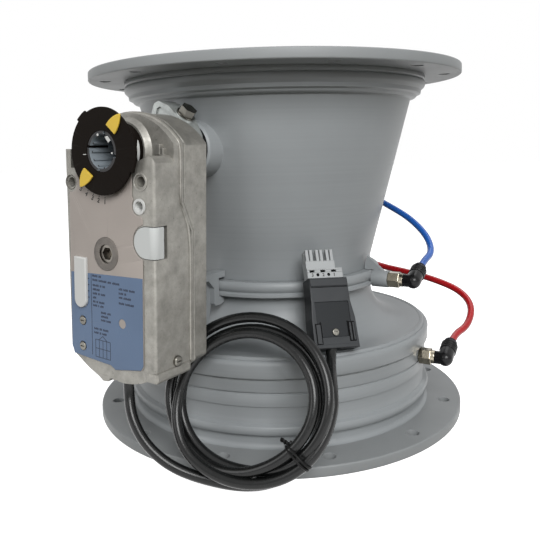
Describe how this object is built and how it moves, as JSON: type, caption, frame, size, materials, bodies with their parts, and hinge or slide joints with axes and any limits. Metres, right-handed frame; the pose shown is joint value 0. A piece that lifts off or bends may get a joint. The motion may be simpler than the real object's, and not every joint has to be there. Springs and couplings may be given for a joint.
{
  "type": "variable air volume damper",
  "caption": "Flanged round duct damper with a bellmouth nozzle, a conical diffuser, a turning blade, a rotary actuator, two pressure hoses and a coiled lead with a plug.",
  "frame": {"origin": "centre of the lower flange's outer face, on the duct axis", "axes": "+Z along the duct axis from the lower flange to the upper flange; the picture's camera stands on -Y, and the shaft and actuator point 32.8 degrees to the left of it"},
  "size_m": [0.3335, 0.3493, 0.292],
  "materials": {
    "housing_grey": "smooth moulded light grey plastic",
    "flange_grey": "smooth grey plastic sheet",
    "seal_rubber": "black lip seal",
    "bearing_plastic": "black plain bearing plastic",
    "shaft_steel": "zinc-plated steel",
    "nickel": "nickel-plated brass",
    "cast_aluminium": "bare die casting with a grain",
    "clamp_casting": "smooth die casting",
    "cover_foil": "printed warm grey foil",
    "label_blue": "printed blue-grey foil, left bare",
    "white_plastic": "satin white plastic",
    "button_grey": "satin light grey plastic",
    "adapter_grey": "blue-grey plastic",
    "disc_black": "black plastic",
    "arrow_yellow": "yellow plastic",
    "gear_plastic": "natural acetal",
    "gear_steel": "sintered steel",
    "motor_steel": "zinc-plated can",
    "board_green": "circuit board",
    "hose_blue": "blue polyurethane hose",
    "hose_red": "red polyurethane hose",
    "elbow_black": "black moulded plastic",
    "collet_grey": "dark grey plastic",
    "cable_black": "black cable jacket",
    "tie_black": "black wire tie",
    "connector_grey": "light grey plastic",
    "relief_grey": "mid grey plastic",
    "relief_dark": "dark grey plastic",
    "sensor_grey": "light grey plastic",
    "screw_steel": "zinc-plated steel"
  },
  "bodies": {
    "casing": {"lower_flange": "flange_grey", "inlet_casing": "housing_grey", "inlet_nozzle": "housing_grey", "pressure_ring": "housing_grey", "diffuser_casing": "housing_grey", "upper_flange": "flange_grey", "drive_bearing_bush": "bearing_plastic", "far_bearing_bush": "bearing_plastic", "far_end_cap": "housing_grey", "support_bracket": "housing_grey", "throat_tap_boss": "housing_grey", "throat_tap_fitting": "nickel", "inlet_tap_fitting": "nickel", "throat_elbow": "elbow_black", "inlet_elbow": "elbow_black", "blue_hose": "hose_blue", "red_hose": "hose_red", "sensor_bracket": "shaft_steel", "sensor_housing": "sensor_grey", "sensor_cover": "sensor_grey", "sensor_nozzles": "sensor_grey", "front_housing": "cast_aluminium", "rear_housing": "cast_aluminium", "front_plate": "cover_foil", "type_label": "label_blue", "side_clip": "white_plastic", "housing_screws": "screw_steel", "ear_bush": "white_plastic", "cable_grommet": "cable_black", "drive_motor": "motor_steel", "circuit_board": "board_green", "gear_plate": "shaft_steel", "gear_spindle": "shaft_steel", "actuator_cable": "cable_black", "cable_coil": "cable_black", "cable_tie": "tie_black", "plug_cable": "cable_black", "strain_relief_housing": "relief_grey", "strain_relief_cover": "relief_dark", "cover_screw": "screw_steel", "connector_body": "connector_grey"},
    "blade": {"blade_shaft": "shaft_steel", "blade_upper_plate": "housing_grey", "blade_lower_plate": "housing_grey", "blade_seal": "seal_rubber", "blade_screws": "screw_steel", "output_hub": "disc_black", "shaft_adapter": "adapter_grey", "indicator_disc": "disc_black", "pointer_arrows": "arrow_yellow", "clamp_block": "clamp_casting", "clamp_bolt": "screw_steel", "sector_gear": "gear_steel"},
    "intermediate_gear": {"intermediate_gear": "gear_steel"},
    "manual_gear": {"manual_gear": "gear_steel"},
    "motor_rotor": {"motor_rotor": "gear_steel"},
    "release_button": {"release_button": "button_grey"},
    "throat_collet": {"throat_collet": "collet_grey"},
    "inlet_collet": {"inlet_collet": "collet_grey"}
  },
  "joints": [
    {"name": "blade_turn", "type": "hinge", "parent": "casing", "child": "blade", "pos_m": [0, 0, 0.2268], "axis": [-0.5417, -0.8406, 0], "range_deg": [0, 90]},
    {"name": "intermediate_gear_turn", "type": "hinge", "parent": "casing", "child": "intermediate_gear", "pos_m": [-0.08575, -0.13032, 0.18633], "axis": [-0.5417, -0.8406, 0], "range_deg": [-471, 0]},
    {"name": "manual_gear_turn", "type": "hinge", "parent": "casing", "child": "manual_gear", "pos_m": [-0.09422, -0.13795, 0.15949], "axis": [-0.5417, -0.8406, 0], "range_deg": [0, 1346]},
    {"name": "motor_turn", "type": "hinge", "parent": "casing", "child": "motor_rotor", "pos_m": [-0.09496, -0.13748, 0.13551], "axis": [-0.5417, -0.8406, 0], "range_deg": [-4036, 0]},
    {"name": "release_button_press", "type": "slide", "parent": "casing", "child": "release_button", "axis": [0.5417, 0.8406, 0], "range_m": [0, 0.003], "stiffness_N_per_m": 800, "springref_m": -0.002},
    {"name": "throat_collet_press", "type": "slide", "parent": "casing", "child": "throat_collet", "axis": [-0.4383, -0.8243, -0.3584], "range_m": [0, 0.0015], "stiffness_N_per_m": 800, "springref_m": -0.001},
    {"name": "inlet_collet_press", "type": "slide", "parent": "casing", "child": "inlet_collet", "axis": [-0.4238, -0.8318, -0.3584], "range_m": [0, 0.0015], "stiffness_N_per_m": 800, "springref_m": -0.001}
  ],
  "couplings": [
    {"joint": "intermediate_gear_turn", "follows": "blade_turn", "ratio": -5.2308},
    {"joint": "manual_gear_turn", "follows": "blade_turn", "ratio": 14.945},
    {"joint": "motor_turn", "follows": "blade_turn", "ratio": -44.835}
  ]
}
